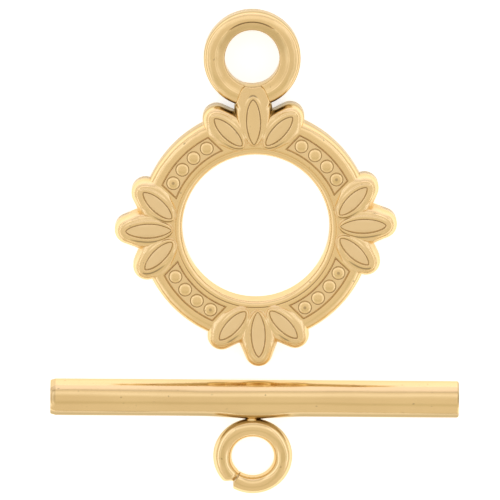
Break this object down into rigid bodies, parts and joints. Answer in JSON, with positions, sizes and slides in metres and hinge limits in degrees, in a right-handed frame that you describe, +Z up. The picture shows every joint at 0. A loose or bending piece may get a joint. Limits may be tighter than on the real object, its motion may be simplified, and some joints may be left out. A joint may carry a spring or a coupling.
{
  "type": "toggle clasp",
  "caption": "Jewellery toggle clasp in two loose halves: a cast ring with palmettes, bead panels and a hanging loop, and a round bar with a soldered wire loop.",
  "frame": {"origin": "centre of the hole that the bar passes through, on the ring's flat back, which lies on the surface", "axes": "+Z up through the hole from the flat back to the decorated front, +Y from the hole's centre to the hanging loop, +X to the right along the bar as it lies"},
  "size_m": [0.0242, 0.029, 0.0022],
  "materials": {
    "gold_plate": "polished yellow gold plate"
  },
  "bodies": {
    "root": {"toggle_ring": "gold_plate", "toggle_bar": "gold_plate"}
  },
  "joints": []
}
